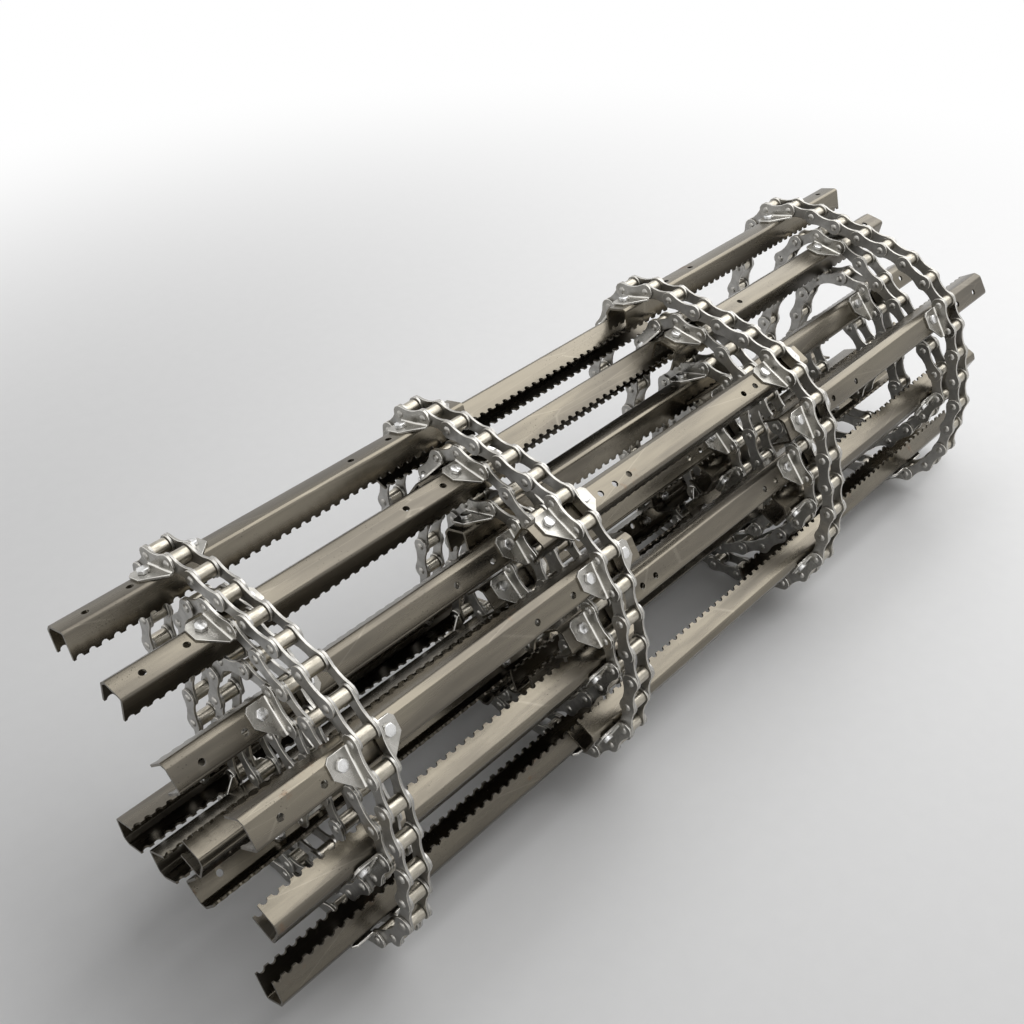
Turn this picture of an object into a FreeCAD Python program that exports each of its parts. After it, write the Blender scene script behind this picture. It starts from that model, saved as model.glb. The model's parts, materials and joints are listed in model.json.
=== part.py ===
import FreeCAD, Part
import math
import os
import Sketcher
from FreeCAD import Placement, Rotation, Vector

# A feeder conveyor chain of four roller chain strands with cross slats, rolled up for storage.
# X runs along the pins and slats, Y to the back of the roll and Z up from the floor.
# The origin is on the floor, under the middle of the roll.

os.makedirs("parts", exist_ok=True)
doc = FreeCAD.newDocument("conveyor_chain")
sheet = doc.addObject("Spreadsheet::Sheet", "Sizes")

SIZES = [
    ("pitch", 41.4, "from pin to pin"),
    ("plate_height", 23.1, "across a link plate at its pins"),
    ("plate_waist", 14.6, "across a link plate half way"),
    ("plate_thick", 3.1, "sheet of the link plates and ears"),
    ("inner_width", 20.24, "between the inner plates"),
    ("plate_gap", 0.25, "between an inner and an outer plate"),
    ("roller_dia", 17.78, "outside of a roller"),
    ("roller_play", 0.2, "from a roller's end to the plate"),
    ("bush_dia", 11.5, "outside of a bush"),
    ("bush_clearance", 0.06, "radial, roller on bush"),
    ("pin_dia", 8.0, "pin shank"),
    ("pin_clearance", 0.05, "radial, pin in bush"),
    ("pin_head_dia", 10.4, "riveted head"),
    ("pin_head_height", 1.8, "riveted head above the plate"),
    ("ear_reach", 27.5, "ear, from the plate's outer face"),
    ("ear_tip", 4.0, "width of the ear at its narrow end"),
    ("ear_run_out", 6.0, "ear past the trailing pin"),
    ("ear_corner", 5.0, "cut corner at the ear's wide end"),
    ("ear_past_bolt", 8.9, "full width of the ear, past its bolt"),
    ("bolt_out", 13.9, "bolt from the plate's outer face"),
    ("bolt_back", 14.0, "bolt back from the leading pin"),
    ("bolt_dia", 8.0, "bolt shank"),
    ("bolt_hole_clearance", 0.2, "radial, bolt in ear and slat"),
    ("bolt_flats", 13.0, "across the flats of head and nut"),
    ("bolt_head_height", 5.3, "hexagon head"),
    ("nut_height", 6.5, "hexagon nut"),
    ("bolt_end", 2.5, "thread showing past the nut"),
    ("slat_sheet", 3.0, "sheet of a slat"),
    ("slat_web", 30.0, "flat of a slat under the ears"),
    ("slat_bevel", 7.0, "sloped strip beside the web"),
    ("slat_depth", 34.0, "web to the free edge of the flanges"),
    ("slat_start", 6.0, "trailing pin to the web"),
    ("slat_over_outer", 140.0, "slat past the outer strands"),
    ("slat_over_inner", 56.0, "slat past the inner strands"),
    ("notch_pitch", 14.5, "serration along the flanges"),
    ("notch_dia", 8.5, "corner to corner of a notch of the serration"),
    ("punched_hole_dia", 8.5, "spare holes in a slat's web"),
    ("hole_from_end", 34.0, "slat's end to its first spare hole"),
    ("hole_spacing", 53.0, "first to second spare hole"),
    ("hole_from_strand", 58.0, "inner strand to its spare holes"),
    ("strand_hole_spacing", 60.0, "between those spare holes"),
    ("middle_hole_spacing", 26.5, "between a middle slat's spare holes"),
    ("strand_gap_outer", 370.0, "strand 1 to 2, and 3 to 4"),
    ("strand_gap_middle", 438.0, "strand 2 to 3"),
    ("link_count", 78, "pitches in each strand"),
    ("row_repeat", 8, "pitches from one slat pattern to the next"),
    ("free_links", 6, "pitches of the loose outer end"),
    ("wrap_clearance", 0.6, "between wraps of the roll"),
    ("first_heading", 109.0, "direction of the innermost link, degrees"),
    ("tightest_turn", 45.0, "largest turn between two links, degrees"),
    ("turn_step", 4.0, "step between the turns tried, degrees"),
    ("end_heading", -84.0, "direction in which the loose end hangs"),
]
for row, (alias, value, meaning) in enumerate(SIZES, start=1):
    sheet.set(f"A{row}", alias)
    sheet.set(f"B{row}", str(value))
    sheet.setAlias(f"B{row}", alias)
    sheet.set(f"C{row}", meaning)
doc.recompute()


def size(alias):
    return float(sheet.get(alias))


PITCH = size("pitch")
HALF_HEIGHT = size("plate_height") / 2
LINKS = int(size("link_count"))
REPEAT = int(size("row_repeat"))
FREE_LINKS = int(size("free_links"))
FIRST_FREE = LINKS - FREE_LINKS
INNER_FACE = size("inner_width") / 2
INNER_OUT = INNER_FACE + size("plate_thick")
OUTER_IN = INNER_OUT + size("plate_gap")
OUTER_OUT = OUTER_IN + size("plate_thick")
WEB_TOP = -HALF_HEIGHT
END_CORNER = 0.52
STRANDS = [
    -size("strand_gap_middle") / 2 - size("strand_gap_outer"),
    -size("strand_gap_middle") / 2,
    size("strand_gap_middle") / 2,
    size("strand_gap_middle") / 2 + size("strand_gap_outer"),
]


# The roll. Each link is laid at the tightest turn that keeps it, and its slat, clear of the
# links and slats laid before it, from the innermost link outwards. Where no turn fits, the
# links before it are laid again, wider.

def is_pair_row(link):
    """Rows that carry the left and the right slat side by side."""
    return link % REPEAT == 0


def is_middle_row(link):
    """Rows that carry the middle slat, one outer link further on."""
    return link % REPEAT == 2


def link_outline():
    """An octagon round the whole link, its end corners cut a little inside the round ends."""
    end = HALF_HEIGHT * END_CORNER
    return [(-end, -HALF_HEIGHT), (PITCH + end, -HALF_HEIGHT), (PITCH + HALF_HEIGHT, -end),
            (PITCH + HALF_HEIGHT, end), (PITCH + end, HALF_HEIGHT), (-end, HALF_HEIGHT),
            (-HALF_HEIGHT, end), (-HALF_HEIGHT, -end)]


def slat_outline():
    low = WEB_TOP - size("slat_depth")
    start = size("slat_start")
    corner = start + size("slat_web")
    side = corner + size("slat_bevel")
    return [(start, low), (side, low), (side, WEB_TOP - size("slat_bevel")),
            (corner, WEB_TOP), (start, WEB_TOP)]


def laid(outline, pin, heading):
    cosine, sine = math.cos(heading), math.sin(heading)
    return [(pin[0] + cosine * u - sine * v, pin[1] + sine * u + cosine * v) for u, v in outline]


def apart(first, second, gap):
    """True where a side of one convex outline keeps the other more than the gap away."""
    for shape, other in ((first, second), (second, first)):
        for start, end in zip(shape, shape[1:] + shape[:1]):
            run, rise = end[0] - start[0], end[1] - start[1]
            length = math.hypot(run, rise)
            nearest = min(((x - start[0]) * rise - (y - start[1]) * run) / length
                          for x, y in other)
            if nearest > gap:
                return True
    return False


class Laid:
    """One outline in its place, with a circle round it for a quick first test."""

    def __init__(self, link, is_slat, outline, pin, heading):
        self.link = link
        self.is_slat = is_slat
        self.points = laid(outline, pin, heading)
        self.x = sum(x for x, _ in self.points) / len(self.points)
        self.y = sum(y for _, y in self.points) / len(self.points)
        self.reach = max(math.hypot(x - self.x, y - self.y) for x, y in self.points)

    def clears(self, other, gap):
        steps = abs(self.link - other.link)
        if steps == 0 or (steps <= 2 and not self.is_slat and not other.is_slat):
            return True
        if math.hypot(self.x - other.x, self.y - other.y) > self.reach + other.reach + gap:
            return True
        return apart(self.points, other.points, gap)


def wind():
    """Pins and headings of the whole roll, found link by link with steps back where needed."""
    turns = []
    turn = size("tightest_turn")
    while turn >= 0:
        turns.append(math.radians(turn))
        turn -= size("turn_step")
    gap = size("wrap_clearance")
    heading = math.radians(size("first_heading"))
    lowest = math.radians(size("end_heading"))
    pins = [(0.0, 0.0)]
    headings = []
    shapes = []
    next_try = [0] * LINKS
    link = 0
    while link < LINKS:
        found = False
        tries = range(next_try[link], 1 if link == 0 else len(turns))
        for number in tries:
            new = heading if link == 0 else headings[-1] - turns[number]
            if link >= FIRST_FREE:
                whole_turns = round((headings[-1] - lowest) / (2 * math.pi) - 0.25)
                new = max(new, lowest + 2 * math.pi * whole_turns)
            candidate = [Laid(link, False, link_outline(), pins[-1], new)]
            if is_pair_row(link) or is_middle_row(link):
                candidate.append(Laid(link, True, slat_outline(), pins[-1], new))
            if all(shape.clears(old, gap) for shape in candidate for group in shapes
                   for old in group):
                shapes.append(candidate)
                headings.append(new)
                last = pins[-1]
                pins.append((last[0] + PITCH * math.cos(new), last[1] + PITCH * math.sin(new)))
                next_try[link] = number + 1
                link += 1
                found = True
                break
        if not found:
            next_try[link] = 0
            link -= 1
            if link < 0:
                raise ValueError("the roll can't be wound with these sizes")
            shapes.pop()
            headings.pop()
            pins.pop()
    return pins, headings, shapes


def lower_side(points):
    """The side of the outline's hull that the roll lies on: the one nearest to level."""
    hull = []
    for sweep in (sorted(set(points)), sorted(set(points), reverse=True)):
        chain = []
        for point in sweep:
            while len(chain) > 1 and (
                    (chain[-1][0] - chain[-2][0]) * (point[1] - chain[-2][1])
                    <= (chain[-1][1] - chain[-2][1]) * (point[0] - chain[-2][0])):
                chain.pop()
            chain.append(point)
        hull += chain[:-1]
    sides = zip(hull, hull[1:] + hull[:1])
    slopes = [math.atan2(end[1] - start[1], end[0] - start[0]) for start, end in sides]
    return min(slopes, key=abs)


pins, headings, shapes = wind()
slope = lower_side([point for group in shapes for shape in group for point in shape.points])
headings = [heading - slope for heading in headings]
pins = laid(pins, (0.0, 0.0), -slope)


# Sketches and features. Corners are given as pairs of expressions on the sheet.

def sketch_on(body, name, role="YZ_Plane"):
    sketch = body.newObject("Sketcher::SketchObject", name)
    plane = [feature for feature in body.Origin.OriginFeatures if feature.Role == role][0]
    sketch.AttachmentSupport = [(plane, "")]
    sketch.MapMode = "FlatFace"
    return sketch


def worth(sketch, expression):
    result = sketch.evalExpression(expression)
    return float(getattr(result, "Value", result))


def tie(sketch, kind, item, point, expression):
    """Hold one coordinate of a point at an expression's value."""
    value = worth(sketch, expression)
    if expression == "0":
        axis = -2 if kind == "DistanceX" else -1
        sketch.addConstraint(Sketcher.Constraint("PointOnObject", item, point, axis))
        return
    index = sketch.addConstraint(Sketcher.Constraint(kind, -1, 1, item, point, value))
    sketch.setExpression(f"Constraints[{index}]", expression)


def polygon(sketch, outline):
    points = [Vector(worth(sketch, a), worth(sketch, b), 0) for a, b in outline]
    count = len(points)
    first = len(sketch.Geometry)
    for k in range(count):
        sketch.addGeometry(Part.LineSegment(points[k], points[(k + 1) % count]), False)
    for k in range(count):
        sketch.addConstraint(Sketcher.Constraint(
            "Coincident", first + k, 2, first + (k + 1) % count, 1))
    for k, (a, b) in enumerate(outline):
        tie(sketch, "DistanceX", first + k, 1, a)
        tie(sketch, "DistanceY", first + k, 1, b)


def circle(sketch, a, b, radius):
    centre = Vector(worth(sketch, a), worth(sketch, b), 0)
    item = sketch.addGeometry(Part.Circle(centre, Vector(0, 0, 1), worth(sketch, radius)), False)
    tie(sketch, "DistanceX", item, 3, a)
    tie(sketch, "DistanceY", item, 3, b)
    index = sketch.addConstraint(Sketcher.Constraint("Radius", item, worth(sketch, radius)))
    sketch.setExpression(f"Constraints[{index}]", radius)


def pad(body, sketch, length, midplane=True):
    feature = body.newObject("PartDesign::Pad", sketch.Name + "_pad")
    feature.Profile = sketch
    feature.Midplane = midplane
    feature.setExpression("Length", length)
    sketch.Visibility = False
    return feature


def cut_through(body, sketch):
    feature = body.newObject("PartDesign::Pocket", sketch.Name + "_cut")
    feature.Profile = sketch
    feature.Type = 1
    feature.Midplane = True
    return feature


def new_body(name):
    return doc.addObject("PartDesign::Body", name)


R = "Sizes.plate_height/2"
P = "Sizes.pitch"
WAIST_R = ("((Sizes.pitch^2/4 + Sizes.plate_waist^2/4 - Sizes.plate_height^2/4)"
           "/(Sizes.plate_height - Sizes.plate_waist))")
WAIST_Y = f"({WAIST_R} + Sizes.plate_waist/2)"
TOUCH_X = f"({R}*{P}/2/({R} + {WAIST_R}))"
TOUCH_Y = f"({R}*{WAIST_Y}/({R} + {WAIST_R}))"


def plate_features(body, bore, lower_edge="waist"):
    """A figure-eight plate: two round ends, a web that arcs narrow, and two bores."""
    web = sketch_on(body, body.Name + "_web")
    low = f"-{TOUCH_Y}"
    polygon(web, [(TOUCH_X, low), (f"{P} - {TOUCH_X}", low),
                  (f"{P} - {TOUCH_X}", TOUCH_Y), (TOUCH_X, TOUCH_Y)])
    pad(body, web, "Sizes.plate_thick")
    waist = sketch_on(body, body.Name + "_waist")
    circle(waist, f"{P}/2", WAIST_Y, WAIST_R)
    if lower_edge == "waist":
        circle(waist, f"{P}/2", f"-{WAIST_Y}", WAIST_R)
    cut_through(body, waist)
    for number, place in enumerate(("0", P)):
        end = sketch_on(body, f"{body.Name}_end_{number}")
        circle(end, place, "0", R)
        pad(body, end, "Sizes.plate_thick")
    if lower_edge == "straight":
        foot = sketch_on(body, body.Name + "_foot")
        polygon(foot, [("0", f"-{R}"), (P, f"-{R}"), (P, "0"), ("0", "0")])
        pad(body, foot, "Sizes.plate_thick")
    bores = sketch_on(body, body.Name + "_bores")
    circle(bores, "0", "0", bore)
    circle(bores, P, "0", bore)
    return cut_through(body, bores)


def ear_corners():
    """The bent ear seen from outside the roll: widest at its bolt, tapering to the tail."""
    face = "Sizes.plate_thick/2"
    reach = "(Sizes.plate_thick/2 + Sizes.ear_reach)"
    return [(face, "-Sizes.ear_run_out"), (f"{face} + Sizes.ear_tip", "-Sizes.ear_run_out"),
            (reach, f"{P} - Sizes.bolt_back - Sizes.ear_past_bolt"),
            (reach, f"{P} - Sizes.ear_corner"), (f"{reach} - Sizes.ear_corner", P), (face, P)]


inner_plate = new_body("inner_plate_blank")
plate_features(inner_plate, "Sizes.bush_dia/2")
outer_plate = new_body("outer_plate_blank")
plate_features(outer_plate, "Sizes.pin_dia/2")
ear_plate = new_body("ear_plate_blank")
plate_features(ear_plate, "Sizes.pin_dia/2", "straight")


def add_ear(body, drilled):
    ear = sketch_on(body, body.Name + "_ear", "XY_Plane")
    polygon(ear, ear_corners())
    ear.AttachmentOffset = Placement(Vector(0, 0, 0), Rotation())
    ear.setExpression("AttachmentOffset.Base.z", f"-{R}")
    if drilled:
        circle(ear, "Sizes.plate_thick/2 + Sizes.bolt_out", f"{P} - Sizes.bolt_back",
               "Sizes.bolt_dia/2 + Sizes.bolt_hole_clearance")
    return pad(body, ear, "Sizes.plate_thick", False)


add_ear(ear_plate, True)

roller = new_body("roller_blank")
roller_ring = sketch_on(roller, "roller_ring")
circle(roller_ring, "0", "0", "Sizes.roller_dia/2")
circle(roller_ring, "0", "0", "Sizes.bush_dia/2 + Sizes.bush_clearance")
pad(roller, roller_ring, "Sizes.inner_width - 2*Sizes.roller_play")

bush = new_body("bush_blank")
bush_ring = sketch_on(bush, "bush_ring")
circle(bush_ring, "0", "0", "Sizes.bush_dia/2")
circle(bush_ring, "0", "0", "Sizes.pin_dia/2 + Sizes.pin_clearance")
pad(bush, bush_ring, "Sizes.inner_width + 2*Sizes.plate_thick")

OUT_X = "(Sizes.inner_width/2 + 2*Sizes.plate_thick + Sizes.plate_gap)"
pin = new_body("pin_blank")
pin_profile = sketch_on(pin, "pin_profile", "XY_Plane")
polygon(pin_profile, [
    (f"-{OUT_X} - Sizes.pin_head_height", "0"),
    (f"{OUT_X} + Sizes.pin_head_height", "0"),
    (f"{OUT_X} + Sizes.pin_head_height", "Sizes.pin_head_dia/4"),
    (OUT_X, "Sizes.pin_head_dia/2"),
    (OUT_X, "Sizes.pin_dia/2"),
    (f"-{OUT_X}", "Sizes.pin_dia/2"),
    (f"-{OUT_X}", "Sizes.pin_head_dia/2"),
    (f"-{OUT_X} - Sizes.pin_head_height", "Sizes.pin_head_dia/4"),
])
pin_turned = pin.newObject("PartDesign::Revolution", "pin_turned")
pin_turned.Profile = pin_profile
pin_turned.ReferenceAxis = (pin_profile, ["H_Axis"])
pin_turned.Angle = 360


def hexagon(sketch, corner_radius, a="0", b="0"):
    """A regular hexagon about (a, b), two of its corners level with the middle."""
    corners = []
    for k in range(6):
        angle = math.radians(60 * k)
        corners.append((f"{a} + {corner_radius}*{math.cos(angle):.6f}",
                        f"{b} + {corner_radius}*{math.sin(angle):.6f}" if k % 3 else b))
    polygon(sketch, corners)


def hex_body(name, height, bore=None):
    """A hexagon standing on the ear's or nut's seat, its axis along the link's height."""
    body = new_body(name)
    sketch = sketch_on(body, name + "_hexagon", "XY_Plane")
    hexagon(sketch, "Sizes.bolt_flats/sqrt(3)")
    if bore:
        circle(sketch, "0", "0", bore)
    pad(body, sketch, height, False)
    return body


bolt = hex_body("bolt_blank", "Sizes.bolt_head_height")
shank = sketch_on(bolt, "bolt_shank", "XY_Plane")
circle(shank, "0", "0", "Sizes.bolt_dia/2")
shank_pad = pad(bolt, shank, "Sizes.plate_thick + Sizes.slat_sheet + Sizes.nut_height"
                             " + Sizes.bolt_end", False)
shank_pad.Reversed = True
nut = hex_body("nut_blank", "Sizes.nut_height", "Sizes.bolt_dia/2")
head_only = hex_body("bolt_head_blank", "Sizes.bolt_head_height")

# A slat is folded sheet: web, a sloped strip on its leading side, and two flanges.
START = "Sizes.slat_start"
CORNER = "(Sizes.slat_start + Sizes.slat_web)"
SIDE = f"({CORNER} + Sizes.slat_bevel)"
TOP = f"(-{R})"
LOW = f"({TOP} - Sizes.slat_depth)"
SHEET = "Sizes.slat_sheet"
LEAN = f"(Sizes.slat_sheet*{math.tan(math.pi / 8):.6f})"
SLAT_OUTSIDE = [(START, LOW), (START, TOP), (CORNER, TOP), (SIDE, f"{TOP} - Sizes.slat_bevel"),
                (SIDE, LOW)]
SLAT_INSIDE = [(f"{SIDE} - {SHEET}", LOW),
               (f"{SIDE} - {SHEET}", f"{TOP} - Sizes.slat_bevel - {LEAN}"),
               (f"{CORNER} - {LEAN}", f"{TOP} - {SHEET}"),
               (f"{START} + {SHEET}", f"{TOP} - {SHEET}"), (f"{START} + {SHEET}", LOW)]

SLAT_STRANDS = {"left": range(0, 2), "middle": range(1, 3), "right": range(2, 4)}
SLAT_LEFT_END = {
    "left": STRANDS[0] - size("slat_over_outer"),
    "middle": STRANDS[1] - size("slat_over_inner"),
    "right": STRANDS[2] - size("slat_over_inner"),
}
SLAT_LENGTH = {
    "left": "Sizes.strand_gap_outer + Sizes.slat_over_outer + Sizes.slat_over_inner",
    "middle": "Sizes.strand_gap_middle + 2*Sizes.slat_over_inner",
    "right": "Sizes.strand_gap_outer + Sizes.slat_over_outer + Sizes.slat_over_inner",
}
STRAND_ALONG = {
    "left": ("Sizes.slat_over_outer", "(Sizes.slat_over_outer + Sizes.strand_gap_outer)"),
    "middle": ("Sizes.slat_over_inner", "(Sizes.slat_over_inner + Sizes.strand_gap_middle)"),
    "right": ("Sizes.slat_over_inner", "(Sizes.slat_over_inner + Sizes.strand_gap_outer)"),
}


def spare_holes(side):
    """Places along the slat of the punched holes that no bolt uses."""
    first, second = STRAND_ALONG[side]
    near, step = "Sizes.hole_from_strand", "Sizes.strand_hole_spacing"
    if side == "left":
        return ["Sizes.hole_from_end", "Sizes.hole_from_end + Sizes.hole_spacing",
                f"{second} - {near}", f"{second} - {near} - {step}"]
    if side == "right":
        end = f"{SLAT_LENGTH[side]} - Sizes.hole_from_end"
        return [end, f"{end} - Sizes.hole_spacing", f"{first} + {near}",
                f"{first} + {near} + {step}"]
    step = "Sizes.middle_hole_spacing"
    return [f"{first} + {near}", f"{first} + {near} + {step}", f"{first} + {near} + 2*{step}",
            f"{second} - {near}", f"{second} - {near} - {step}"]


def slat_body(side, finished):
    """One slat from its left end; a finished one has its bolt holes and serrated edges."""
    name = f"{side}_slat_{'finished' if finished else 'plain'}"
    body = new_body(name)
    profile = sketch_on(body, name + "_profile")
    polygon(profile, SLAT_OUTSIDE + SLAT_INSIDE)
    pad(body, profile, SLAT_LENGTH[side], False)
    if not finished:
        return body
    holes = sketch_on(body, name + "_holes", "XY_Plane")
    radius = "Sizes.bolt_dia/2 + Sizes.bolt_hole_clearance"
    for strand in STRAND_ALONG[side]:
        for sign in "-+":
            circle(holes, f"{strand} {sign} {OUT_X} {sign} Sizes.bolt_out",
                   f"{P} - Sizes.bolt_back", radius)
    for place in spare_holes(side):
        circle(holes, place, f"{START} + Sizes.slat_web/2", "Sizes.punched_hole_dia/2")
    cut_through(body, holes)
    notch = sketch_on(body, name + "_notch", "XZ_Plane")
    hexagon(notch, "Sizes.notch_dia/2", "Sizes.notch_pitch/2", LOW)
    notch_cut = cut_through(body, notch)
    pattern = body.newObject("PartDesign::LinearPattern", name + "_serration")
    pattern.Originals = [notch_cut]
    pattern.Direction = (notch, ["H_Axis"])
    pattern.setExpression("Length", f"{SLAT_LENGTH[side]} - Sizes.notch_pitch")
    pattern.setExpression("Occurrences", f"floor(({SLAT_LENGTH[side]})/Sizes.notch_pitch)")
    body.Tip = pattern
    return body


finished_slats = {side: slat_body(side, True) for side in SLAT_STRANDS}
plain_slats = {side: slat_body(side, False) for side in SLAT_STRANDS}

# In the wound part the repeated plates have few faces: a hexagonal outline, no bores.
HEX_PLATE = [(f"-{R}", "0"), (f"-{R}/2", f"-{R}"), (f"{P} + {R}/2", f"-{R}"), (f"{P} + {R}", "0"),
             (f"{P} + {R}/2", R), (f"-{R}/2", R)]
wound_plate = new_body("wound_plate_blank")
wound_outline = sketch_on(wound_plate, "wound_plate_outline")
polygon(wound_outline, HEX_PLATE)
pad(wound_plate, wound_outline, "Sizes.plate_thick")
wound_ear_plate = new_body("wound_ear_plate_blank")
wound_ear_outline = sketch_on(wound_ear_plate, "wound_ear_plate_outline")
polygon(wound_ear_outline, HEX_PLATE)
pad(wound_ear_plate, wound_ear_outline, "Sizes.plate_thick")
add_ear(wound_ear_plate, False)
doc.recompute()


# Placing copies. A link's own frame has Y along the link, Z away from the roll's middle.

def at_link(link, along=0.0, x=0.0, up=0.0):
    heading = headings[link]
    y, z = pins[link]
    turn = Rotation(Vector(1, 0, 0), math.degrees(heading))
    return Placement(Vector(0, y, z), turn).multiply(Placement(Vector(x, along, up), Rotation()))


def copies(blank, places):
    """Copies of a blank at places; a place is (placement, faces_left)."""
    result = []
    for place, faces_left in places:
        shape = blank.Shape.copy()
        if faces_left:
            shape = shape.mirror(Vector(0, 0, 0), Vector(1, 0, 0))
        shape.transformShape(place.toMatrix(), True)
        result.append(shape)
    return result


def side_places(link, offset, strands=range(4)):
    """Left and right of every strand at one link, at a distance from the strand's middle."""
    places = []
    for strand in strands:
        places.append((at_link(link, x=STRANDS[strand] - offset), True))
        places.append((at_link(link, x=STRANDS[strand] + offset), False))
    return places


def eared_strands(link):
    if is_pair_row(link):
        return (0, 1, 2, 3)
    if is_middle_row(link):
        return (1, 2)
    return ()


def bolt_places(link, sides, up):
    places = []
    for side in sides:
        for strand in SLAT_STRANDS[side]:
            for sign in (-1, 1):
                x = STRANDS[strand] + sign * (OUTER_OUT + size("bolt_out"))
                places.append((at_link(link, PITCH - size("bolt_back"), x, up), False))
    return places


def sides_of(link):
    if is_pair_row(link):
        return ("left", "right")
    if is_middle_row(link):
        return ("middle",)
    return ()


def mitre(number):
    """Outer and inner edge points of the wound length, half way through its turn at a pin."""
    before = headings[max(number - 1, 0)]
    after = headings[min(number, FIRST_FREE - 1)]
    reach = HALF_HEIGHT / math.cos((before - after) / 2)
    heading = (before + after) / 2
    y, z = pins[number]
    rise = (-math.sin(heading) * reach, math.cos(heading) * reach)
    return (y + rise[0], z + rise[1]), (y - rise[0], z - rise[1])


def wound_blocks(strand):
    """The wound length of one strand: a block from pin to pin, the last one round and bored."""
    x = STRANDS[strand] - INNER_OUT
    width = 2 * INNER_OUT
    edges = [mitre(number) for number in range(FIRST_FREE + 1)]
    blocks = []
    for (outer, inner), (next_outer, next_inner) in zip(edges, edges[1:]):
        loop = [Vector(x, y, z) for y, z in (outer, next_outer, next_inner, inner, outer)]
        blocks.append(Part.Face(Part.makePolygon(loop)).extrude(Vector(width, 0, 0)))
    centre, along = Vector(x, *pins[FIRST_FREE]), Vector(1, 0, 0)
    end = Part.makeCylinder(HALF_HEIGHT, width, centre, along)
    radius = size("pin_dia") / 2 + size("pin_clearance")
    bore = Part.makeCylinder(radius, width, centre, along)
    return blocks[:-1] + [blocks[-1].fuse(end).removeSplitter().cut(bore)]


nodes = {}


def node(name, shapes_of_node):
    feature = doc.addObject("Part::Feature", name)
    feature.Label = name
    shapes_of_node = [solid for shape in shapes_of_node for solid in shape.Solids]
    feature.Shape = shapes_of_node[0] if len(shapes_of_node) == 1 \
        else Part.makeCompound(shapes_of_node)
    nodes[name] = feature


OUTER_MIDDLE = (OUTER_IN + OUTER_OUT) / 2
INNER_MIDDLE = (INNER_FACE + INNER_OUT) / 2
SEAT = WEB_TOP + size("plate_thick")
NUT_LOW = WEB_TOP - size("slat_sheet") - size("nut_height")

for strand in range(4):
    node(f"wound_strand_{strand + 1}", wound_blocks(strand))

wound_outer = [link for link in range(0, FIRST_FREE, 2)]
plain_places, ear_places, head_places = [], [], []
for link in wound_outer:
    eared = eared_strands(link)
    bare = [strand for strand in range(4) if strand not in eared]
    plain_places += side_places(link, OUTER_MIDDLE, bare)
    ear_places += side_places(link, OUTER_MIDDLE, eared)
    head_places += bolt_places(link, sides_of(link), SEAT)
node("wound_outer_plates", copies(wound_plate, plain_places))
node("wound_ear_plates", copies(wound_ear_plate, ear_places))
node("wound_slat_bolts", copies(head_only, head_places))
for side, left_end in SLAT_LEFT_END.items():
    rows = [link for link in wound_outer if side in sides_of(link)]
    node(f"wound_{side}_slats",
         copies(plain_slats[side], [(at_link(link, x=left_end), False) for link in rows]))

for link in range(FIRST_FREE, LINKS):
    number = link - FIRST_FREE + 1
    if link % 2 == 0:
        eared = eared_strands(link)
        bare = [strand for strand in range(4) if strand not in eared]
        plates = copies(outer_plate, side_places(link, OUTER_MIDDLE, bare))
        plates += copies(ear_plate, side_places(link, OUTER_MIDDLE, eared))
        node(f"outer_plates_{number}", plates)
        pin_places = [(at_link(link, along, STRANDS[strand]), False)
                      for strand in range(4) for along in (0, PITCH)]
        node(f"pins_{number}", copies(pin, pin_places))
        for side in sides_of(link):
            node(f"{side}_slat_{number}",
                 copies(finished_slats[side], [(at_link(link, x=SLAT_LEFT_END[side]), False)]))
        if sides_of(link):
            node(f"slat_bolts_{number}", copies(bolt, bolt_places(link, sides_of(link), SEAT)))
            node(f"slat_nuts_{number}", copies(nut, bolt_places(link, sides_of(link), NUT_LOW)))
    else:
        node(f"inner_plates_{number}", copies(inner_plate, side_places(link, INNER_MIDDLE)))
        bush_places = [(at_link(link, along, STRANDS[strand]), False)
                       for strand in range(4) for along in (0, PITCH)]
        node(f"bushes_{number}", copies(bush, bush_places))
        for roller_row, along in ((number, 0), (number + 1, PITCH)):
            node(f"rollers_{roller_row}",
                 copies(roller, [(at_link(link, along, STRANDS[strand]), False)
                                 for strand in range(4)]))

# The roll stands on the floor over the origin.
box = Part.makeCompound([feature.Shape for feature in nodes.values()]).BoundBox
base = Vector(0, -(box.YMin + box.YMax) / 2, -box.ZMin)
for feature in nodes.values():
    feature.Placement = Placement(base, Rotation())
pins = [(y + base.y, z + base.z) for y, z in pins]
print("size", round(box.XLength), round(box.YLength), round(box.ZLength))

# Every object has to have built before anything is written.
for item in doc.Objects:
    faults = [state for state in item.State if state in ("Invalid", "Error")]
    if faults:
        raise RuntimeError(f"{item.Name} is {faults}")
for name, feature in nodes.items():
    if feature.Shape.isNull() or not feature.Shape.isValid():
        raise RuntimeError(f"{name} has no valid shape")
for name, feature in nodes.items():
    feature.Shape.exportStep(f"parts/{name}.step")
print(len(nodes), "nodes,", sum(len(feature.Shape.Solids) for feature in nodes.values()), "solids")
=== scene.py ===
import json
import math
from collections import namedtuple

import bpy
import numpy as np
from mathutils import Matrix


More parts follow.
